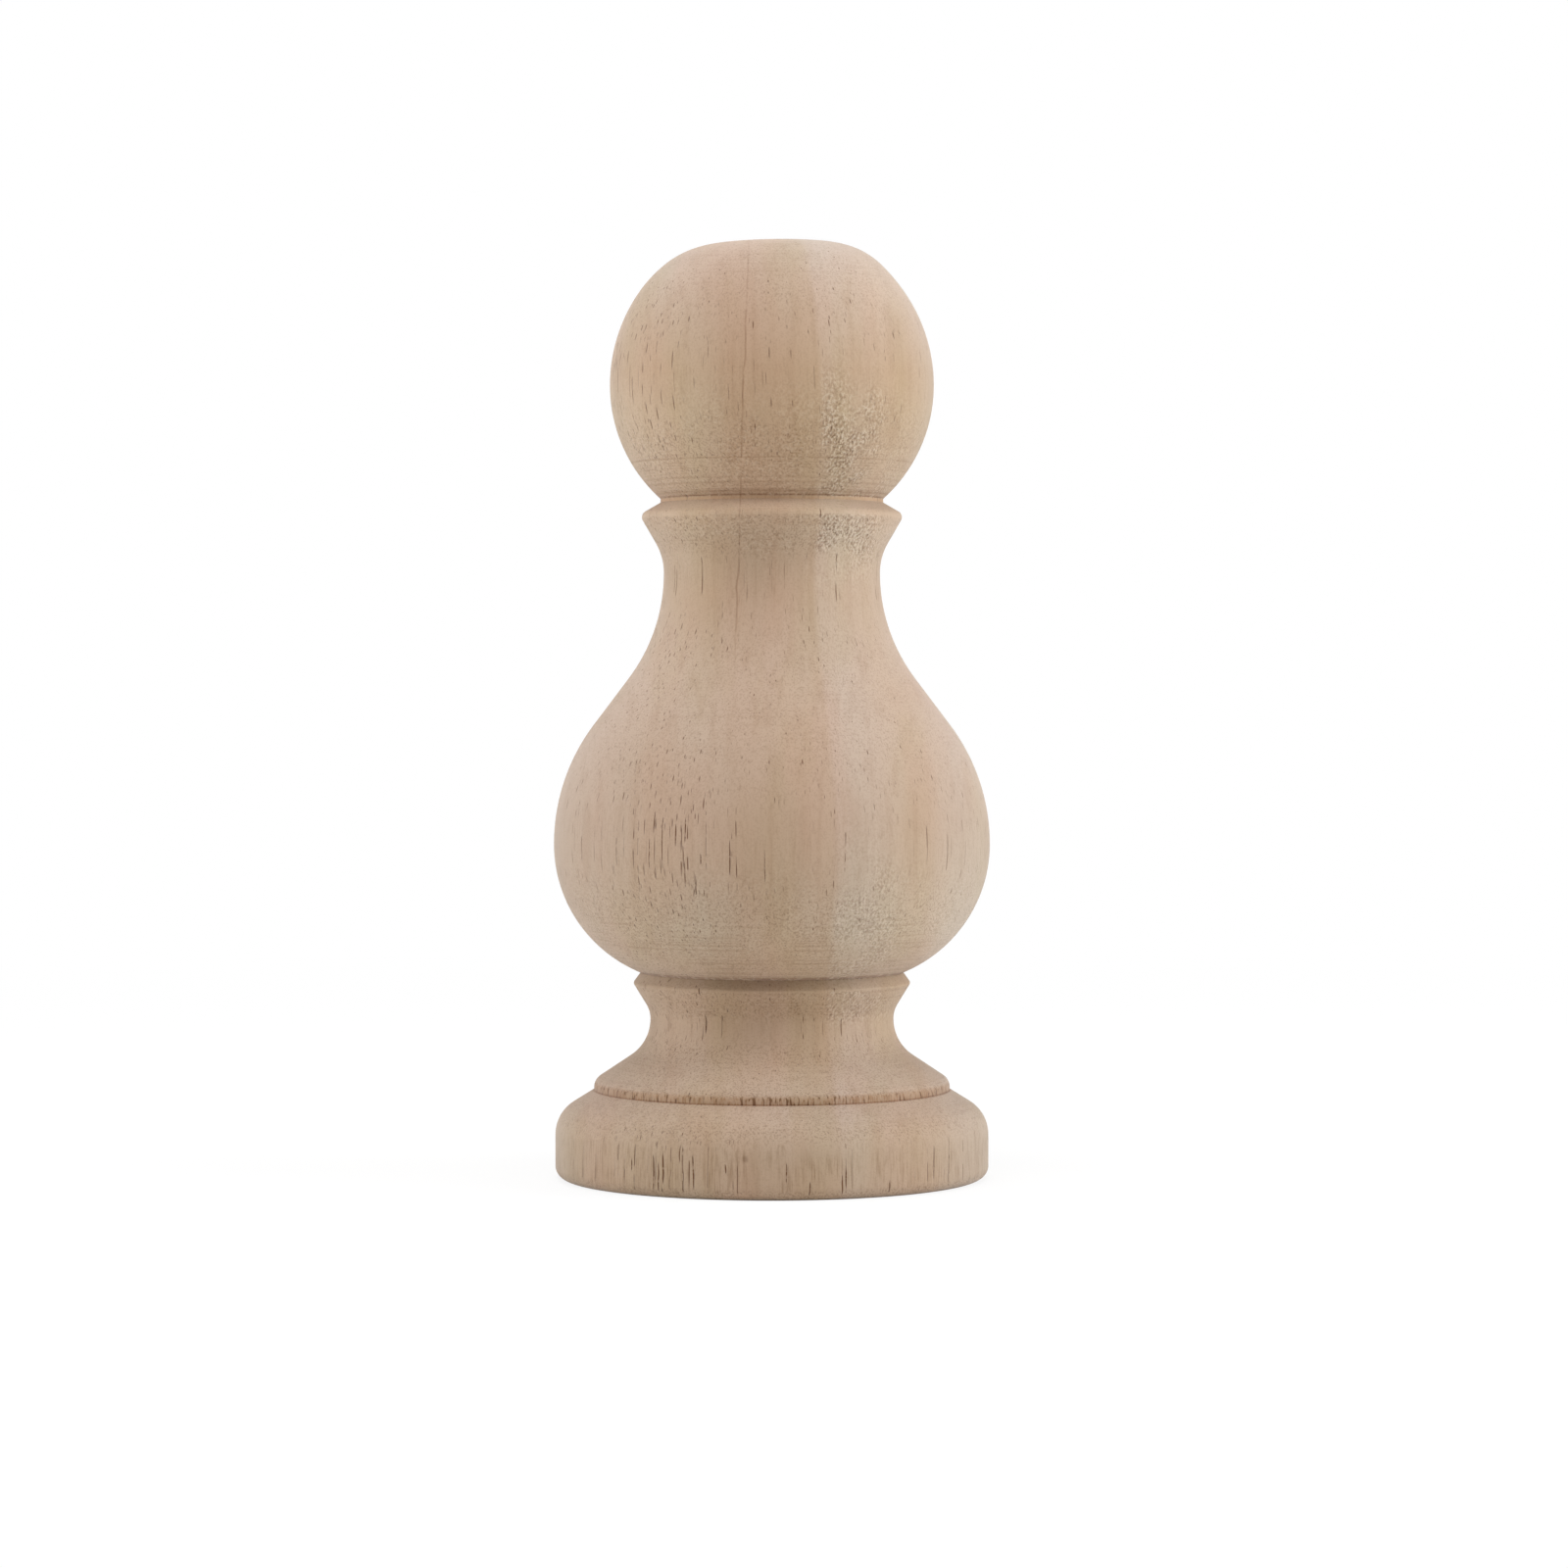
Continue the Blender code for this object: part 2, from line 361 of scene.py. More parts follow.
def lathe_tree():
    """The Geometry Nodes tree that turns a chain of points round the upright axis."""
    tree = bpy.data.node_groups.new("turned_on_the_lathe", "GeometryNodeTree")
    add_sockets(tree, "INPUT", LATHE_INPUTS)
    add_sockets(tree, "OUTPUT", {"Geometry": "Geometry"})
    given = add_node(tree, "NodeGroupInput").outputs

    outline_size = add_node(tree, "GeometryNodeAttributeDomainSize", {"Geometry": given["Geometry"]})
    columns = calc("ADD", given["Facets"], 1)
    grid = add_node(tree, "GeometryNodeMeshGrid",
                    {"Vertices X": outline_size.outputs["Point Count"], "Vertices Y": columns})
    index = add_node(tree, "GeometryNodeInputIndex").outputs[0]
    row = calc("FLOOR", calc("DIVIDE", index, columns))
    column = calc("SUBTRACT", index, calc("MULTIPLY", row, columns))
    position = add_node(tree, "GeometryNodeInputPosition").outputs[0]
    on_outline = add_node(tree, "GeometryNodeSampleIndex", data_type="FLOAT_VECTOR", domain="POINT")
    tree.links.new(given["Geometry"], on_outline.inputs["Geometry"])
    tree.links.new(position, on_outline.inputs["Value"])
    tree.links.new(row, on_outline.inputs["Index"])
    radius_height = add_node(tree, "ShaderNodeSeparateXYZ", {0: on_outline.outputs[0]}).outputs
    angle = calc("MULTIPLY", column, calc("DIVIDE", 2 * math.pi, given["Facets"]))
    across = calc("MULTIPLY", radius_height["X"], calc("COSINE", angle))
    away = calc("MULTIPLY", radius_height["X"], calc("SINE", angle))

    # Only the crown leans: the lean fades in over the last millimetres below the top. It would lift one side
    # above the finial's height, so the crown also sinks by that much.
    fade = {"Value": radius_height["Z"], "From Min": given["Lean From"], "From Max": given["Top"]}
    share_up = add_node(tree, "ShaderNodeMapRange", fade, interpolation_type="SMOOTHSTEP").outputs[0]
    tilt = calc("SUBTRACT", calc("MULTIPLY", across, given["Crown Lean"]), given["Crown Sink"])
    lean = calc("MULTIPLY", tilt, share_up)
    height = calc("ADD", radius_height["Z"], lean)
    place = add_node(tree, "ShaderNodeCombineXYZ", {"X": across, "Y": away, "Z": height})
    turned = add_node(tree, "GeometryNodeSetPosition", {"Geometry": grid.outputs["Mesh"],
                                                        "Position": place.outputs[0]})
    closed = add_node(tree, "GeometryNodeMergeByDistance", {"Geometry": turned.outputs[0],
                                                            "Distance": given["Weld"]})
    # The wood needs to know where a face looks up or down, so the upward part of the normal is stored.
    normal = add_node(tree, "GeometryNodeInputNormal").outputs[0]
    upward = add_node(tree, "ShaderNodeSeparateXYZ", {0: normal}).outputs["Z"]
    facing = {"Geometry": closed.outputs[0], "Name": "facing", "Value": upward}
    marked = add_node(tree, "GeometryNodeStoreNamedAttribute", facing, data_type="FLOAT", domain="POINT")
    edge_angle = add_node(tree, "GeometryNodeInputMeshEdgeAngle").outputs["Unsigned Angle"]
    crisp = add_node(tree, "FunctionNodeCompare", {0: edge_angle, 1: given["Sharp From"]},
                     operation="GREATER_THAN", data_type="FLOAT").outputs[0]
    smooth = add_node(tree, "GeometryNodeSetShadeSmooth", {"Geometry": marked.outputs[0]}, domain="FACE")
    crisp_edges = add_node(tree, "GeometryNodeSetShadeSmooth", {"Geometry": smooth.outputs[0],
                           "Selection": crisp, "Shade Smooth": False}, domain="EDGE")
    real = add_node(tree, "GeometryNodeRealizeInstances", {"Geometry": crisp_edges.outputs[0]})
    finished = add_node(tree, "GeometryNodeSetMaterial",
                        {"Geometry": real.outputs[0], "Material": given["Wood"]})
    add_node(tree, "NodeGroupOutput", {"Geometry": finished.outputs[0]})
    return tree


# %% [markdown]
# ## Wood is a solid texture
# The finial was cut out of a board that was cut out of a tree, so its figure runs right through it. Every
# effect below is worked out from a place inside the wood, in millimetres, and not from a picture wrapped
# round it. That is why the pores come out as dots where the cut slants and as long strokes where it runs
# along the grain.
#
# A few helpers keep the node trees short: sums and products, a smooth step between two values, a line, a
# round patch, and noise whose lumps have a size in millimetres each way. The number called shift moves the
# noise, so that no two effects match.

# %% Helpers for solid textures


def vector_sum(operation, *values):
    """Adds a Vector Math node beside the values and returns its output."""
    found = add_node(tree_of(*values), "ShaderNodeVectorMath", dict(enumerate(values)), operation=operation)
    return found.outputs["Value" if operation in ("LENGTH", "DOT_PRODUCT") else "Vector"]


def product(*values):
    """All the values multiplied together."""
    result = values[0]
    for value in values[1:]:
        result = calc("MULTIPLY", result, value)
    return result


def smooth_step(value, start, end, low=0.0, high=1.0):
    """Rises smoothly from low to high while the value goes from start to end."""
    limits = {"Value": value, "From Min": start, "From Max": end, "To Min": low, "To Max": high}
    found = add_node(value.id_data, "ShaderNodeMapRange", limits, interpolation_type="SMOOTHSTEP")
    return found.outputs["Result"]


def line_at(value, middle, half_width, fade_end, strength=1.0):
    """The strength where the value is within half_width of the middle, fading to 0 at fade_end from it."""
    away = calc("ABSOLUTE", calc("SUBTRACT", value, middle))
    return smooth_step(away, half_width, fade_end, strength, 0.0)


def lumps(place, size, shift, detail=2.0, output="Fac"):
    """Noise from 0 to 1 about a half, with lumps of the size, one number for each way in millimetres."""
    tree = place.id_data
    scale = tuple(1 / length for length in size)
    moved = add_node(tree, "ShaderNodeMapping", {"Vector": place, "Location": (shift, -shift, 2 * shift),
                                                 "Scale": scale})
    noise = add_node(tree, "ShaderNodeTexNoise", {"Vector": moved.outputs[0], "Scale": 1.0, "Detail": detail})
    return noise.outputs[output]


def wander(place, size, shift, reach):
    """An offset that changes slowly with the place, by up to half the reach to either side."""
    noise = lumps(place, size, shift, 1.0, "Color")
    return vector_sum("MULTIPLY", vector_sum("SUBTRACT", noise, (0.5, 0.5, 0.5)), reach)


def blob(place, centre, reach, turn=0.0):
    """Falls from 1 at the centre to 0 at the reach, one number each way, turned about the upright axis."""
    tree = place.id_data
    axes = {"Vector": place, "Location": centre, "Rotation": (0, 0, turn), "Scale": reach}
    local = add_node(tree, "ShaderNodeMapping", axes, vector_type="TEXTURE").outputs[0]
    round_fall = add_node(tree, "ShaderNodeTexGradient", {"Vector": local}, gradient_type="SPHERICAL")
    return round_fall.outputs["Fac"]


def tinted(colour, tint, share):
    """The colour multiplied by the tint, as much as the share says."""
    layers = {0: share, 6: colour, 7: tint}
    mixed = add_node(colour.id_data, "ShaderNodeMix", layers, data_type="RGBA", blend_type="MULTIPLY")
    return mixed.outputs[2]


def blended(first, second, share):
    """The first colour turned into the second one, as much as the share says."""
    mixed = add_node(first.id_data, "ShaderNodeMix", {0: share, 6: first, 7: second}, data_type="RGBA")
    return mixed.outputs[2]


# %% [markdown]
# ## How the tree grew
# A trunk adds a layer round its pith every season. The wood is taken to have grown about 17 cm from the
# pith, so the layers pass through the finial as gentle arcs, nearly upright. One number says which layer a
# place is in: its distance from the pith, counted from a layer near the finial's axis. The fibres follow the
# trunk, and wander a little.

# %% Grain coordinates
PITH = (-160.0, -49.0, 0.0)
PITH_TO_AXIS = 165.0
LAYER_TILT = 0.020
ACROSS_GRAIN = (1.0, 1.0, 0.0)


def grain_group():
    """A node group that gives the place among the fibres and the layer it is in, both in millimetres."""
    tree = bpy.data.node_groups.new("grain", "ShaderNodeTree")
    add_sockets(tree, "OUTPUT", {"Place": "Vector", "Fibre Place": "Vector", "Layer": "Float"})
    metres = add_node(tree, "ShaderNodeTexCoord").outputs["Object"]
    place = vector_sum("MULTIPLY", metres, (1 / MM, 1 / MM, 1 / MM))
    slow_bend = wander(place, (90.0, 90.0, 60.0), 3.1, (1.6, 1.6, 0.0))
    quick_bend = wander(place, (14.0, 14.0, 16.0), 7.7, (0.7, 0.7, 0.0))
    fibre_place = vector_sum("ADD", place, vector_sum("ADD", slow_bend, quick_bend))
    from_pith = vector_sum("MULTIPLY", vector_sum("SUBTRACT", fibre_place, PITH), ACROSS_GRAIN)
    distance = vector_sum("LENGTH", from_pith)
    height = add_node(tree, "ShaderNodeSeparateXYZ", {0: place}).outputs["Z"]
    layer = calc("ADD", calc("SUBTRACT", distance, PITH_TO_AXIS), calc("MULTIPLY", height, LAYER_TILT))
    add_node(tree, "NodeGroupOutput", {"Place": place, "Fibre Place": fibre_place, "Layer": layer})
    return tree


# %% [markdown]
# ## Pores
# This hardwood has open vessels: tubes a tenth or two of a millimetre wide that carried the sap up the
# trunk. The gouge lays them open. Cells of a flat Voronoi pattern place one tube each, seen along the grain,
# and keep it all the way up. A share of the cells stays empty, and slow noise along the grain opens and
# shuts each tube. The edge also drags an opening out along the cut: the input Drag says how much of a tube's
# depth still counts.

# %% The pores group
PORE_INPUTS = {"Fibre Place": "Vector", "Spacing": "Float", "Radius": "Float", "Share": "Float",
               "Open Length": "Float", "Drag": "Float", "Shift": "Float"}


def pores_group():
    """A node group that gives how deep a place is inside a pore, from 0 to 1."""
    tree = bpy.data.node_groups.new("pores", "ShaderNodeTree")
    add_sockets(tree, "INPUT", PORE_INPUTS)
    add_sockets(tree, "OUTPUT", {"Depth": "Float"})
    given = add_node(tree, "NodeGroupInput").outputs
    spacing = given["Spacing"]
    moved = vector_sum("ADD", vector_sum("DIVIDE", given["Fibre Place"], spacing), given["Shift"])
    cells = add_node(tree, "ShaderNodeTexVoronoi", {"Vector": moved, "Scale": 1.0}, voronoi_dimensions="2D")
    from_tube = vector_sum("SUBTRACT", moved, cells.outputs["Position"])
    offset = vector_sum("MULTIPLY", vector_sum("MULTIPLY", from_tube, ACROSS_GRAIN), spacing)
    outward = vector_sum("NORMALIZE", vector_sum("MULTIPLY", given["Fibre Place"], ACROSS_GRAIN))
    deep = vector_sum("DOT_PRODUCT", offset, outward)
    whole = vector_sum("LENGTH", offset)
    dropped = calc("SUBTRACT", 1.0, calc("POWER", given["Drag"], 2.0))
    counted = calc("SUBTRACT", product(whole, whole), product(deep, deep, dropped))
    distance = calc("SQRT", counted)
    chance = add_node(tree, "ShaderNodeSeparateColor", {0: cells.outputs["Color"]}).outputs
    radius = calc("MULTIPLY", given["Radius"], calc("ADD", chance["Green"], 0.55))
    inside = smooth_step(calc("DIVIDE", distance, radius), 0.45, 1.0, 1.0, 0.0)
    present = calc("LESS_THAN", chance["Red"], given["Share"])
    height = add_node(tree, "ShaderNodeSeparateXYZ", {0: given["Fibre Place"]}).outputs["Z"]
    along = calc("ADD", calc("DIVIDE", height, given["Open Length"]), calc("MULTIPLY", chance["Blue"], 100.0))
    gate = add_node(tree, "ShaderNodeTexNoise", {"W": along, "Scale": 1.0, "Detail": 1.0},
                    noise_dimensions="1D")
    opened = smooth_step(gate.outputs["Fac"], 0.42, 0.52)
    add_node(tree, "NodeGroupOutput", {"Depth": product(inside, present, opened)})
    return tree


# %% [markdown]
# ## The colours of the layers
# Raw wood of this kind is a pinkish beige. The layers differ by a shade: a greyer band right of the middle
# starts sharply, as a new season does, and fades out over a centimetre. Left of it the wood is browner. The
# stops below give each layer's colour, by its number in millimetres.

# %% Layer colours
LAYER_SPAN = 40.0
LAYER_COLOURS = [
    (-38, (0.455, 0.345, 0.255)),
    (-30, (0.470, 0.355, 0.265)),
    (-22, (0.470, 0.350, 0.250)),
    (-14, (0.485, 0.365, 0.265)),
    (-8, (0.470, 0.340, 0.240)),
    (0, (0.475, 0.345, 0.245)),
    (6.6, (0.465, 0.350, 0.250)),
    (7.8, (0.485, 0.375, 0.285)),
    (10.5, (0.485, 0.380, 0.290)),
    (14, (0.475, 0.365, 0.275)),
    (18, (0.475, 0.360, 0.265)),
    (24, (0.465, 0.350, 0.255)),
    (30, (0.465, 0.360, 0.275)),
    (38, (0.475, 0.370, 0.280)),
]
print(f"{len(LAYER_COLOURS)} layer colours over {2 * LAYER_SPAN:.0f} mm")

# %% [markdown]
# ## Tones, patches and painted light
# No board has one tone from end to end, and two short tables make this wood a little browner or paler in
# places: how the tone drifts up the finial, and soft round patches on the side that the photo shows. Part of
# it is painted light and shade. The vase's underside and the lower left of the ball are painted lighter, as
# if lit from below. The crown and the vase's shoulder are painted lighter and cooler, as if lit from above,
# and the middle of the neck is painted darker. Both tables only multiply the layers' colours, so the grain
# stays in view.

# %% Tones, patches and painted light
# Each stop is a height in millimetres and what the colour is multiplied by there, tone and painted light
# together.
HEIGHT_TONES_AND_PAINTED_LIGHT = [
    (0, (0.90, 0.89, 0.87)),
    (7, (0.92, 0.92, 0.90)),
    (15, (0.94, 0.94, 0.97)),
    (18, (1.00, 1.01, 1.04)),
    (24, (1.05, 1.04, 1.05)),
    (31, (0.96, 0.93, 0.89)),
    (36, (0.98, 0.96, 0.93)),
    (44, (1.02, 1.07, 1.08)),
    (54, (0.97, 0.98, 0.98)),
    (62, (0.96, 0.95, 0.96)),
    (75, (0.99, 0.99, 1.03)),
    (87, (1.03, 1.04, 1.10)),
    (100, (1.02, 1.00, 1.00)),
    (110, (1.03, 1.05, 1.05)),
    (115, (1.11, 1.08, 1.04)),
    (119, (0.99, 0.97, 0.91)),
    (130, (1.02, 1.01, 0.93)),
    (137, (0.99, 0.95, 0.88)),
    (144, (1.00, 0.98, 0.97)),
    (158, (1.01, 1.05, 1.14)),
]

# Each patch is its centre and how far it reaches, in millimetres, and what the colour is multiplied by there.
# Some are painted light, such as the lighter lower left of the ball, and some are painted shade, such as the
# darker middle of the neck.
TONE_AND_PAINTED_LIGHT_PATCHES = [
    ((6, -27, 127), 19, (0.955, 0.92, 0.885)),
    ((-21, -12, 125), 20, (1.10, 1.15, 1.22)),
    ((-14, -14, 156), 14, (1.05, 1.08, 1.12)),
    ((22, -16, 134), 13, (0.98, 0.96, 0.93)),
    ((14, -14, 108), 8, (1.04, 1.06, 1.05)),
    ((-2, -19, 107), 12, (0.91, 0.91, 0.88)),
    ((-24, -14, 86), 20, (1.06, 1.07, 1.11)),
    ((20, -16, 86), 14, (0.98, 0.96, 0.93)),
    ((0, -37, 58), 14, (0.98, 0.98, 0.97)),
    ((26, -24, 45), 24, (1.05, 1.08, 1.10)),
    ((-12, -32, 42), 16, (0.95, 0.955, 0.95)),
    ((-5, -22, 31), 14, (0.93, 0.92, 0.905)),
    ((5, -32, 14), 14, (0.99, 1.03, 1.08)),
    ((-24, -22, 4), 16, (1.00, 0.98, 0.94)),
]
print(f"{len(HEIGHT_TONES_AND_PAINTED_LIGHT)} stops of tone, {len(TONE_AND_PAINTED_LIGHT_PATCHES)} patches")

# %% [markdown]
# ## A colour ramp from a table
# Blender's Color Ramp runs from 0 to 1, and a table in millimetres is easier to read and to change. This
# helper turns one into the other: it scales the value and each stop alike, then adds the stops one by one.

# %% A colour ramp from a table


def colour_along(value, low, high, table):
    """A colour ramp through the table's stops, each a value between low and high and its colour."""
    tree = value.id_data
    share = add_node(tree, "ShaderNodeMapRange", {"Value": value, "From Min": low, "From Max": high})
    ramp = add_node(tree, "ShaderNodeValToRGB", {"Fac": share.outputs["Result"]})
    stops = ramp.color_ramp.elements
    while len(stops) > 1:
        stops.remove(stops[-1])
    for number, (stop_value, colour) in enumerate(table):
        position = (stop_value - low) / (high - low)
        stop = stops[0] if number == 0 else stops.new(position)
        stop.position = position
        stop.color = (*colour, 1)
    return ramp.outputs["Color"]


# %% [markdown]
# ## What the effects read
# The wood is one material, and each of the next cells lays one effect over it, from the broad to the fine.
# They all read the same few values: the place in millimetres, the layer it is in, and how the surface faces
# there. An effect is a mask, from 0 to about 1. It tints the colour, and where the real effect is a dent, the
# last of these cells uses the same mask again for the bump.

# %% The material and the values that its effects read
WOOD = bpy.data.materials.new("raw_hardwood")
WOOD.use_nodes = True
wood_tree = WOOD.node_tree
wood_shader = wood_tree.nodes["Principled BSDF"]

grain = add_node(wood_tree, "ShaderNodeGroup", node_tree=grain_group()).outputs
place = grain["Place"]
fibres = grain["Fibre Place"]
layer = grain["Layer"]
x_y_z = add_node(wood_tree, "ShaderNodeSeparateXYZ", {0: place}).outputs
x, y, z = x_y_z["X"], x_y_z["Y"], x_y_z["Z"]
facing = add_node(wood_tree, "ShaderNodeAttribute", attribute_name="facing").outputs["Fac"]
slant = calc("ABSOLUTE", facing)
undercut = calc("MULTIPLY", facing, -1.0)
upright = smooth_step(slant, 0.22, 0.5, 1.0, 0.0)

# Heights on the outline that the marks of the tool keep to, in millimetres like the wood's own places
TOP = outline[0].y / MM
BALL_FOOT = ball_foot.y / MM
UPPER_GROOVE = upper_groove.y / MM
LOWER_GROOVE = lower_groove.y / MM
LEDGE_TOP = ledge_top.y / MM
print(f"grooves at {UPPER_GROOVE:.2f} and {LOWER_GROOVE:.2f} mm, step from {LEDGE_TOP:.2f} mm")

# %% [markdown]
# ## Broad tones
# The layers' colours come first, then the drift of tone up the finial, then the patches, both of which hold
# painted light and shade as well as tone. Two slow noises, long along the grain, turn the wood a little
# pinker or yellower in places, and a third draws streaks a few millimetres wide. Each multiplies the colour
# below it, so none of them hides another.

# %% Broad tones
# Each drift: the size of its lumps, its shift, the noise where it starts and where it is full, and its tint
DRIFTS = {
    "pink": ((11.0, 30.0, 38.0), 1.3, 0.42, 0.68, (1.0, 0.955, 0.94)),
    "yellow_grey": ((9.0, 24.0, 45.0), 5.9, 0.45, 0.70, (0.955, 0.955, 0.90)),
    "streaks": ((1.6, 4.0, 60.0), 2.2, 0.45, 0.75, (0.94, 0.92, 0.90)),
}

colour = colour_along(layer, -LAYER_SPAN, LAYER_SPAN, LAYER_COLOURS)
# The drift up the finial is partly the wood's tone and partly painted light and shade.
colour = tinted(colour, colour_along(z, 0.0, TOP, HEIGHT_TONES_AND_PAINTED_LIGHT), 1.0)
# Some patches are painted light and some painted shade, beside those of the wood's own tone.
for centre, reach, tint in TONE_AND_PAINTED_LIGHT_PATCHES:
    near = blob(place, centre, (reach, reach, reach))
    colour = tinted(colour, (*tint, 1), smooth_step(near, 0.0, 0.9))
for size, shift, start, full, tint in DRIFTS.values():
    here = smooth_step(lumps(fibres, size, shift), start, full)
    colour = tinted(colour, (*tint, 1), here)
print(f"broad tones: {len(wood_tree.nodes)} nodes, {len(DRIFTS)} drifts")

# %% [markdown]
# ## Fibres and fuzz
# Close up, raw wood isn't smooth. The fibres show as hair lines a quarter of a millimetre wide and many
# times as long, and a slanting cut shortens them by itself, because they run through the wood. Where the cut
# slants, their torn ends also show, as a fine fuzz. The attribute that the lathe stored says how much a face
# slants.

# %% Fibres and fuzz
FIBRE_TINT = (0.73, 0.68, 0.61, 1)
FUZZ_TINT = (0.74, 0.71, 0.68, 1)

fine = lumps(fibres, (0.28, 0.28, 4.5), 4.4)
fine_here = smooth_step(lumps(place, (3.0, 3.0, 4.0), 11.4), 0.32, 0.66, 0.2, 1.0)
on_base_side = smooth_step(z, 6.5, 10.5, 1.0, 0.33)
fine_dark = product(smooth_step(fine, 0.42, 0.72), on_base_side, fine_here)

fuzz = lumps(place, (0.30, 0.30, 0.34), 13.7, 1.0)
fuzz_above = smooth_step(facing, 0.15, 0.6, 0.30, 0.62)
fuzz_below = smooth_step(undercut, 0.1, 0.5, 0.0, 0.8)
on_flare_and_ledge = smooth_step(z, 22.0, 28.0, 0.45, 0.0)
fuzz_low = product(on_flare_and_ledge, smooth_step(facing, 0.15, 0.6))
fuzz_here = calc("ADD", fuzz_above, calc("ADD", fuzz_below, fuzz_low))
fuzz_dark = product(smooth_step(fuzz, 0.48, 0.70), fuzz_here)
colour = tinted(colour, FUZZ_TINT, fuzz_dark)
colour = tinted(colour, FIBRE_TINT, fine_dark)
print("nodes with fibres and fuzz:", len(wood_tree.nodes))

# %% [markdown]
# ## Three sizes of pores
# The same group is placed three times, each with its own spacing, radius and length: wide dots, narrow
# strokes that only an upright face shows, and faint specks everywhere. The first two sizes crowd in a porous
# layer on the left.

# %% Pores
PORE_TINT = (0.44, 0.32, 0.24, 1)
STROKE_STRENGTH = 0.85
SPECK_STRENGTH = 0.55

crowd = calc("SUBTRACT", smooth_step(layer, -29.0, -24.0), smooth_step(layer, -17.0, -8.0))
pores = pores_group()
drag = smooth_step(slant, 0.45, 0.80, 0.48, 1.0)


def pore_layer(spacing, radius, share, open_length, shift):
    """How deep the wood is inside the pores of one size. Lengths are in millimetres."""
    inputs = {"Fibre Place": fibres, "Spacing": spacing, "Radius": radius, "Share": share,
              "Open Length": open_length, "Drag": drag, "Shift": shift}
    return add_node(wood_tree, "ShaderNodeGroup", inputs, node_tree=pores).outputs["Depth"]


dots = pore_layer(0.9, 0.088, calc("ADD", 0.12, calc("MULTIPLY", crowd, 0.46)), 5.0, 0.3)
strokes = pore_layer(0.6, 0.07, calc("ADD", 0.05, calc("MULTIPLY", crowd, 0.20)), 2.5, 5.6)
specks = pore_layer(0.7, 0.07, 0.34, 8.0, 17.2)
pore = calc("MAXIMUM", dots, calc("MULTIPLY", strokes, calc("MULTIPLY", upright, STROKE_STRENGTH)))
pore = calc("MAXIMUM", pore, calc("MULTIPLY", specks, SPECK_STRENGTH))
colour = tinted(colour, PORE_TINT, pore)
print(f"pores: three sizes from one group of {len(pores.nodes)} nodes")

# %% [markdown]
# ## The widest tubes
# A few tubes are wide enough to be seen one by one, as dark strokes on the base's side, at the waist and on
# the left of the vase. Each is a long thin ellipsoid centred on the surface, listed below. Its distance from
# the axis isn't typed: it is read off the outline, so the tubes stay on the surface if a diameter changes.

# %% The widest tubes
# Each tube: how far right of the middle it lies, the heights between which it is open, and its radius
LARGE_TUBES = [
    (-23.2, 4.2, 6.4, 0.12), (-19.5, 0.9, 7.6, 0.15), (-18.7, 0.8, 6.2, 0.14), (-17.9, 2.2, 8.0, 0.19),
    (-15.1, 6.0, 9.2, 0.11), (-12.9, 1.5, 7.8, 0.15), (-7.6, 4.5, 6.2, 0.12), (2.4, 2.8, 6.5, 0.12),
    (6.2, 0.8, 3.3, 0.12), (11.5, 0.8, 4.4, 0.14), (12.1, 1.6, 6.0, 0.13), (19.4, 0.7, 3.2, 0.13),
    (26.9, 2.2, 8.4, 0.11), (29.5, 2.8, 6.5, 0.11), (-19.4, 60.0, 64.0, 0.10), (-18.1, 54.0, 63.5, 0.09),
    (-20.2, 54.0, 59.5, 0.08), (-15.8, 58.0, 62.0, 0.13), (-14.2, 58.5, 63.0, 0.12),
    (-14.6, 54.5, 58.5, 0.08), (-14.3, 51.0, 56.0, 0.10), (-12.4, 50.0, 52.5, 0.11),
    (-11.7, 55.2, 57.0, 0.12), (-6.8, 53.0, 59.5, 0.11), (-1.1, 51.5, 58.0, 0.06),
    (-11.0, 26.0, 29.5, 0.15), (-12.2, 32.5, 34.0, 0.14),
]
TUBE_DEPTH = 1.2
TUBE_TINT = (0.34, 0.22, 0.14, 1)


def radius_at(height):
    """The outline's distance from the axis at a height, both in millimetres, from the crown down the side."""
    for upper, lower in zip(outline, outline[1:]):
        if lower.y <= height * MM < upper.y:
            share = (upper.y - height * MM) / (upper.y - lower.y)
            return upper.lerp(lower, share).x / MM
    raise ValueError(f"no outline at {height} mm")


def large_tubes(place):
    """How deep the place is inside one of the widest tubes, from 0 to 1."""
    sideways = wander(place, (9.0, 9.0, 4.0), 14.3, (0.6, 0.0, 0.0))
    bent = vector_sum("ADD", place, sideways)
    deepest = 0.0
    for across, low, high, radius in LARGE_TUBES:
        middle = (low + high) / 2
        away = -math.sqrt(radius_at(middle) ** 2 - across ** 2)
        turn = math.atan2(away, across) + math.pi / 2
        inside = blob(bent, (across, away, middle), (radius, TUBE_DEPTH, (high - low) / 2), turn)
        deepest = calc("MAXIMUM", deepest, inside)
    rough = smooth_step(lumps(place, (3.0, 3.0, 0.9), 15.8), 0.32, 0.5, 0.3, 1.0)
    return calc("MULTIPLY", smooth_step(deepest, 0.0, 0.22), rough)


wide = large_tubes(place)
colour = tinted(colour, TUBE_TINT, wide)
pore = calc("MAXIMUM", pore, wide)
print(f"{len(LARGE_TUBES)} wide tubes, the first {radius_at(LARGE_TUBES[0][1]):.1f} mm from the axis")

# %% [markdown]
# ## Torn grain
# Where the gouge cuts against the fibres, it tears them out in crumbs instead of slicing them. That happens
# under the ball and under the vase, where the outline turns in, and most of all in the greyer band. Dark
# holes and pale lifted fibres come from the two ends of one noise, so they lie side by side as they do in the
# wood. Their colours are partly painted shade in the holes and painted light on the lifted fibres, over the
# same noise that the bump sinks and raises.

# %% Torn grain
TORN_HOLE_SHADE_TINT = (0.62, 0.55, 0.48, 1)
TORN_FIBRE_LIGHT_COLOUR = (0.72, 0.62, 0.49, 1)
TORN_FIBRE_LIGHT_SHARE = 0.42

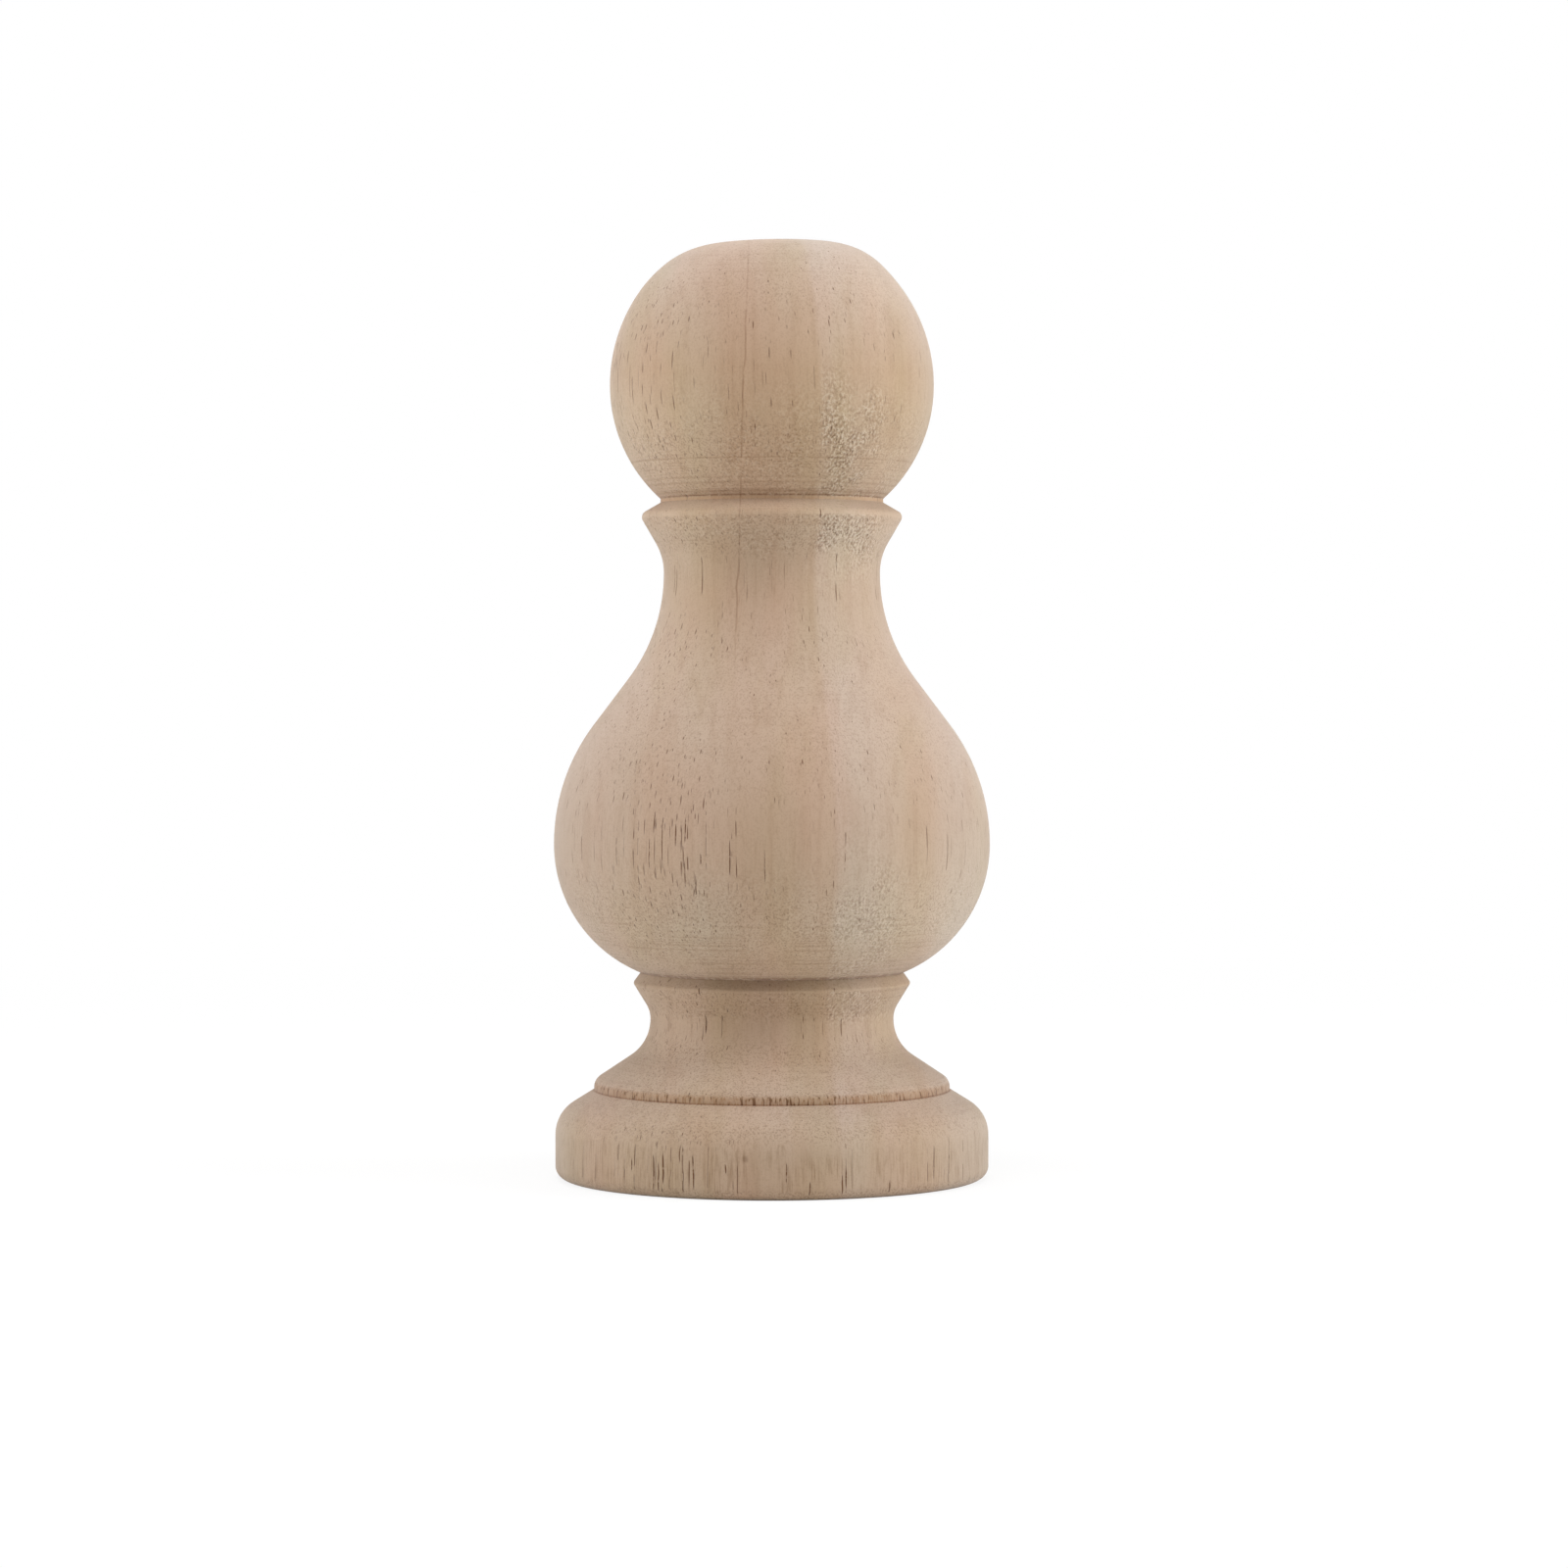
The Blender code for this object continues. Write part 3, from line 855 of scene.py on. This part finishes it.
in_band = calc("SUBTRACT", smooth_step(layer, 6.6, 8.0), smooth_step(layer, 15.0, 21.0))
patch = smooth_step(lumps(place, (6.0, 6.0, 7.0), 8.8), 0.34, 0.56)
above_flare = smooth_step(z, 20.0, 25.0)
turned_in = smooth_step(undercut, -0.25, 0.4)
stronger_above = smooth_step(z, 55.0, 95.0, 0.55, 1.0)
more_in_band = calc("ADD", 0.30, calc("MULTIPLY", in_band, 0.70))
torn_here = product(turned_in, above_flare, patch, stronger_above, more_in_band)
torn = lumps(place, (0.46, 0.46, 0.52), 6.1, 3.0)
torn_holes_and_shade = product(smooth_step(torn, 0.34, 0.47, 1.0, 0.0), torn_here)
torn_fibres_and_light = product(smooth_step(torn, 0.51, 0.60), torn_here)
# The holes get painted shade and the lifted fibres painted light, on top of the torn wood's own colour.
colour = tinted(colour, TORN_HOLE_SHADE_TINT, torn_holes_and_shade)
colour = blended(colour, TORN_FIBRE_LIGHT_COLOUR, calc("MULTIPLY", torn_fibres_and_light, TORN_FIBRE_LIGHT_SHARE))
print("nodes with torn grain:", len(wood_tree.nodes))

# %% [markdown]
# ## Rings of the tool
# The edge of a gouge leaves fine rings where it crosses the grain. A noise that changes only with the height
# draws them all round the axis, and a second one fades them in parts. One ring low on the ball is cut
# deeper.

# %% Rings of the tool
RING_TINT = (0.84, 0.80, 0.76, 1)
RINGS_PER_MM = 2.2
DEEP_RING = BALL_FOOT + 6.05

ring = add_node(wood_tree, "ShaderNodeTexNoise", {"W": z, "Scale": RINGS_PER_MM, "Detail": 2.0},
                noise_dimensions="1D").outputs["Fac"]
ring_part = smooth_step(lumps(place, (9.0, 9.0, 4.0), 9.3), 0.38, 0.62)
below = smooth_step(undercut, 0.25, 0.7, 0.0, 0.8)
above = smooth_step(facing, 0.3, 0.8, 0.0, 0.3)
ring_here = product(calc("ADD", below, above), ring_part)
over_groove = smooth_step(z, BALL_FOOT - 0.05, BALL_FOOT + 0.45)
under_ball = smooth_step(z, BALL_FOOT + 1.15, BALL_FOOT + 4.65, 0.9, 0.0)
ring_here = calc("MAXIMUM", ring_here, product(over_groove, under_ball))
ring_dark = product(smooth_step(ring, 0.46, 0.62), ring_here)
deep_part = smooth_step(lumps(place, (8.0, 8.0, 30.0), 12.9), 0.35, 0.55, 0.5, 1.2)
deep_ring = product(line_at(z, DEEP_RING, 0.07, 0.2), deep_part)
ring_dark = calc("MAXIMUM", ring_dark, deep_ring)
colour = tinted(colour, RING_TINT, ring_dark)
print(f"deeper ring at {DEEP_RING:.1f} mm")

# %% [markdown]
# ## The dark ray
# One dark hair line runs down the front of the ball and the neck, nearly upright. It is a line at a place
# across, which moves a little with the height and wanders with a noise. It fades towards both ends and is
# broken in places.

# %% The dark ray
RAY_TINT = (0.74, 0.66, 0.60, 1)
RAY_SLOPE = 0.0316
RAY_ACROSS_AT_SEAT = -8.9
RAY_WANDER = 0.8

ray_place = calc("ADD", calc("MULTIPLY", z, RAY_SLOPE), RAY_ACROSS_AT_SEAT)
ray_noise = lumps(place, (50.0, 50.0, 6.0), 3.7)
ray_moved = calc("ADD", x, calc("MULTIPLY", calc("SUBTRACT", ray_noise, 0.5), RAY_WANDER))
ray_starts = smooth_step(z, 82.0, 102.0)
ray_ends = smooth_step(z, 148.0, 158.0, 1.0, 0.4)
in_front = calc("LESS_THAN", y, 0.0)
ray_broken = smooth_step(lumps(place, (30.0, 30.0, 2.0), 2.9), 0.32, 0.60, 0.2, 0.8)
ray = product(line_at(ray_moved, ray_place, 0.06, 0.20), ray_starts, ray_ends, in_front,
              ray_broken)
colour = tinted(colour, RAY_TINT, ray)
print(f"ray: {RAY_ACROSS_AT_SEAT + RAY_SLOPE * TOP:.1f} mm across at the top")

# %% [markdown]
# ## The grooves
# Each groove is cut with the corner of the tool. Where the ball or the vase meets it, a ragged dark line is
# painted: shade in the crease, with torn fibres along it. Under the ball a bright edge lies below the line,
# where the wood was scraped clean.

# %% The grooves
GROOVE_SHADE_TINT = (0.66, 0.54, 0.46, 1)
SCRAPED_TINT = (1.06, 0.98, 0.90, 1)

ragged = smooth_step(lumps(place, (1.1, 1.1, 8.0), 19.2), 0.34, 0.52)
groove_high = line_at(z, BALL_FOOT + 0.05, 0.06, 0.22, 0.85)
groove_low = line_at(z, LOWER_GROOVE + 0.25, 0.12, 0.40)
# Painted shade in the grooves' creases, broken up like torn fibres.
groove_shade_line = product(calc("MAXIMUM", groove_high, groove_low), ragged)
colour = tinted(colour, GROOVE_SHADE_TINT, groove_shade_line)
scraped = line_at(z, UPPER_GROOVE + 0.25, 0.15, 0.35, 0.8)
colour = tinted(colour, SCRAPED_TINT, scraped)
print(f"dark lines at {BALL_FOOT + 0.05:.2f} and {LOWER_GROOVE + 0.25:.2f} mm")

# %% [markdown]
# ## The step and a knot
# The step under the flare is only half a millimetre high, and its short fibres have no hold. They are torn,
# and some are chipped out in groups. The chips are finer than the mesh, so they stay in the material, as
# colour and bump. A thin dark line along the step's foot is painted shade in the crease where the ledge
# begins, with torn grain in it. A small knot shows on the base's side.

# %% The step and a knot
STEP_TINT = (0.92, 0.85, 0.77, 1)
STEP_TORN_TINT = (0.82, 0.73, 0.64, 1)
STEP_CREASE_SHADE_TINT = (0.70, 0.58, 0.50, 1)
CHIP_TINT = (0.50, 0.42, 0.36, 1)
KNOT_TINT = (0.70, 0.66, 0.63, 1)
KNOT = (-4.4, -37.0, 7.0)
KNOT_REACH = (0.8, 1.0, 0.9)

from_step_foot = smooth_step(z, LEDGE_TOP - 0.15, LEDGE_TOP + 0.05)
to_step_top = smooth_step(z, LEDGE_TOP + 0.95, LEDGE_TOP + 1.75, 1.0, 0.0)
upright_there = smooth_step(slant, 0.45, 0.75, 1.0, 0.0)
at_step = product(from_step_foot, to_step_top, upright_there)
chip = lumps(place, (0.36, 0.36, 1.6), 4.2, 1.0)
chip_group = smooth_step(lumps(place, (4.0, 4.0, 60.0), 1.9), 0.40, 0.60, 0.07, 0.0)
chip_from = calc("ADD", 0.56, chip_group)
chipped = product(smooth_step(calc("SUBTRACT", chip, chip_from), 0.0, 0.07), at_step)
colour = tinted(colour, STEP_TINT, at_step)
torn_step = product(smooth_step(chip, 0.42, 0.58), at_step)
colour = tinted(colour, STEP_TORN_TINT, torn_step)
# A thin line of painted shade in the crease at the step's foot.
step_crease_shade = line_at(z, LEDGE_TOP + 0.05, 0.08, 0.22, 0.8)
colour = tinted(colour, STEP_CREASE_SHADE_TINT, step_crease_shade)
knot = smooth_step(blob(place, KNOT, KNOT_REACH), 0.0, 0.8)
colour = tinted(colour, KNOT_TINT, knot)
colour = tinted(colour, CHIP_TINT, chipped)
print(f"knot {KNOT[2]:.0f} mm up, {-KNOT[0]:.1f} mm left of the middle")

# %% [markdown]
# ## Relief and shine
# The masks are added up as one height in millimetres, and a Bump node turns it into a tilt of the surface.
# Raw wood has no coat: it is rough, hardly reflects, and its loose fibres catch light at the rim, which is
# what sheen stands for. Those three are the same all over, so they are set on the shader itself.

# %% Relief and shine
PORE_DEPTH = 0.10
TORN_RELIEF = 0.50
FUZZ_DEPTH = 0.012
RING_DEPTH = 0.010
CHIP_DEPTH = 0.05
FIBRE_RELIEF = 0.02
WOOD_ROUGHNESS = 0.8
WOOD_SPECULAR = 0.15
WOOD_SHEEN = 0.25

height = calc("MULTIPLY", pore, -PORE_DEPTH)
crumbs = product(torn_here, calc("SUBTRACT", torn, 0.5))
for mask, relief in ((crumbs, TORN_RELIEF), (fuzz_dark, -FUZZ_DEPTH), (ring_dark, -RING_DEPTH),
                     (calc("MAXIMUM", ray, chipped), -CHIP_DEPTH), (fine, FIBRE_RELIEF)):
    height = calc("ADD", height, calc("MULTIPLY", mask, relief))
bump = add_node(wood_tree, "ShaderNodeBump", {"Height": height, "Distance": MM, "Strength": 1.0})
wood_tree.links.new(colour, wood_shader.inputs["Base Color"])
wood_tree.links.new(bump.outputs["Normal"], wood_shader.inputs["Normal"])
wood_shader.inputs["Roughness"].default_value = WOOD_ROUGHNESS
wood_shader.inputs["Specular IOR Level"].default_value = WOOD_SPECULAR
wood_shader.inputs["Sheen Weight"].default_value = WOOD_SHEEN
print("wood material:", len(wood_tree.nodes), "nodes")

# %% [markdown]
# ## Turning it
# The outline goes into the lathe tree as a chain of points, and a modifier runs the tree. Its inputs are set
# by their identifiers, before the object is first evaluated. The result then replaces the chain as a plain
# mesh, because a finished piece should need no modifier to be read. It stands for the frame's plain solid.

# %% Turn the finial


def plain_mesh(piece):
    """Replaces the object's modifiers by the mesh that they make."""
    graph = bpy.context.evaluated_depsgraph_get()
    made = bpy.data.meshes.new_from_object(piece.evaluated_get(graph))
    piece.modifiers.clear()
    old = piece.data
    piece.data = made
    bpy.data.meshes.remove(old)
    made.name = piece.name
    while made.materials[0] is None:
        made.materials.pop(index=0)


def turn_finial():
    """The finished piece: the outline's chain of points, turned by the lathe tree."""
    mesh = bpy.data.meshes.new("outline")
    edges = [(index, index + 1) for index in range(len(outline) - 1)]
    mesh.from_pydata([(point.x, 0, point.y) for point in outline], edges, [])
    piece = bpy.data.objects.new("finial_in_raw_wood", mesh)
    bpy.context.scene.collection.objects.link(piece)
    lathe = piece.modifiers.new("Lathe", "NODES")
    lathe.node_group = lathe_tree()
    values = {"Facets": FACETS_ROUND, "Weld": WELD_DISTANCE, "Sharp From": SHARP_FROM,
              "Crown Lean": CROWN_LEAN, "Crown Sink": CROWN_SINK, "Lean From": CROWN_LEAN_FROM,
              "Top": outline[0].y, "Wood": WOOD}
    for item in lathe.node_group.interface.items_tree:
        if item.name in values:
            lathe[item.identifier] = values[item.name]
    plain_mesh(piece)
    return piece


finial = turn_finial()
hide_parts("turned_finial")
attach(finial, "root")
print(f"finial: {len(finial.data.polygons)} faces, materials {[m.name for m in finial.data.materials]}")

# %% [markdown]
# ## The floor
# The photo was cut out on white. A pale matt floor carries the finial and keeps a faint shadow under its
# foot. To the camera most of the floor shines white by itself, and all of it far away, so it fades into the
# white room. Apart from the camera, only the wood's faint gloss sees that whiteness.

# %% Floor
FLOOR_SIZE = 6.0
FLOOR_COLOUR = (0.93, 0.93, 0.93, 1)
WHITE = (1, 1, 1, 1)
WHITE_SHARE_NEAR = 0.86
NEAR_FLOOR = 0.08
FAR_FLOOR = 0.6


def floor_material():
    """White to the camera, and pale matt paper to the light. The paper's share shows the shadow."""
    material = bpy.data.materials.new("pale_floor")
    material.use_nodes = True
    tree = material.node_tree
    tree.nodes.clear()
    paper = add_node(tree, "ShaderNodeBsdfDiffuse", {"Color": FLOOR_COLOUR})
    white = add_node(tree, "ShaderNodeEmission", {"Color": WHITE, "Strength": 1.0})
    path = add_node(tree, "ShaderNodeLightPath").outputs
    seen = calc("MAXIMUM", path["Is Camera Ray"], path["Is Glossy Ray"])
    place = add_node(tree, "ShaderNodeTexCoord").outputs["Object"]
    distance = vector_sum("LENGTH", place)
    whiteness = add_node(tree, "ShaderNodeMapRange", {"Value": distance, "From Min": NEAR_FLOOR,
                         "From Max": FAR_FLOOR, "To Min": WHITE_SHARE_NEAR, "To Max": 1.0})
    share = calc("MULTIPLY", seen, whiteness.outputs[0])
    mixed = add_node(tree, "ShaderNodeMixShader", {0: share, 1: paper.outputs[0], 2: white.outputs[0]})
    add_node(tree, "ShaderNodeOutputMaterial", {"Surface": mixed.outputs[0]})
    return material


floor_mesh = bpy.data.meshes.new("floor")
half = FLOOR_SIZE / 2
corners = [(-half, -half, 0), (half, -half, 0), (half, half, 0), (-half, half, 0)]
floor_mesh.from_pydata(corners, [], [(0, 1, 2, 3)])
floor = bpy.data.objects.new("floor", floor_mesh)
floor.data.materials.append(floor_material())
bpy.context.scene.collection.objects.link(floor)
print(f"floor: {FLOOR_SIZE:.0f} m square, {WHITE_SHARE_NEAR:.0%} white beside the finial")

# %% [markdown]
# ## The white room
# A room that is white to the camera and nearly dark to the wood gives a clean background without washing out
# the shade. Light Path tells the two apart: rays that the camera sees, straight or by a reflection, meet
# white.

# %% World
WORLD_STRENGTH = 0.02


def white_world():
    """A world that the camera sees as white and the wood hardly feels."""
    world = bpy.data.worlds.new("white_room")
    world.use_nodes = True
    bpy.context.scene.world = world
    tree = world.node_tree
    tree.nodes.clear()
    path = add_node(tree, "ShaderNodeLightPath").outputs
    seen = calc("MAXIMUM", calc("MAXIMUM", path["Is Camera Ray"], path["Is Glossy Ray"]),
                path["Is Transmission Ray"])
    light = add_node(tree, "ShaderNodeBackground", {"Color": WHITE, "Strength": WORLD_STRENGTH})
    white = add_node(tree, "ShaderNodeBackground", {"Color": WHITE, "Strength": 1.0})
    mixed = add_node(tree, "ShaderNodeMixShader", {0: seen, 1: light.outputs[0], 2: white.outputs[0]})
    add_node(tree, "ShaderNodeOutputWorld", {"Surface": mixed.outputs[0]})


white_world()
print(f"world: {WORLD_STRENGTH} on the wood, white to the camera")

# %% [markdown]
# ## Softboxes
# The photo has no hard shadow and only a little shade at both sides, which points to large lamps all round.
# Six square lamps stand for them, all aimed at the finial's middle. They were balanced one against another
# until the shade on the ball, the vase and the flare agreed with the photo's.

# %% Softboxes
AIM = Vector((0, 0, 80 * MM))
LAMP_DISTANCE = 1.2
LAMP_CLEARANCE = 0.01
LAMP_WATTS = math.pi ** 2 / 4
# Each softbox: degrees round from the camera's side, degrees up, side length, strength
SOFTBOXES = {
    "low_right_softbox": (90, 6, 0.8, 0.97),
    "right_softbox": (78, 26, 0.8, 2.46),
    "left_softbox": (270, 6, 0.8, 2.1),
    "top_softbox": (0, 90, 1.4, 1.34),
    "front_top_softbox": (340, 62, 1.0, 2.7),
    "back_top_softbox": (180, 60, 1.0, 1.08),
}


def softbox(name, around, up, side, strength):
    """A square lamp aimed at the finial, clear of the floor. The strength doesn't depend on its size."""
    around = math.radians(around)
    up = math.radians(up)
    way = Vector((math.sin(around) * math.cos(up), -math.cos(around) * math.cos(up), math.sin(up)))
    place = AIM + LAMP_DISTANCE * way
    place.z = max(place.z, side / 2 * math.cos(up) + LAMP_CLEARANCE)
    lamp = bpy.data.lights.new(name, "AREA")
    lamp.shape = "SQUARE"
    lamp.size = side
    lamp.energy = strength * LAMP_WATTS * LAMP_DISTANCE ** 2
    holder = bpy.data.objects.new(name, lamp)
    holder.location = place
    holder.rotation_euler = (AIM - place).to_track_quat("-Z", "Y").to_euler()
    bpy.context.scene.collection.objects.link(holder)


for name, values in SOFTBOXES.items():
    softbox(name, *values)

bpy.context.scene.view_settings.view_transform = "Standard"
print(len(SOFTBOXES), "softboxes")
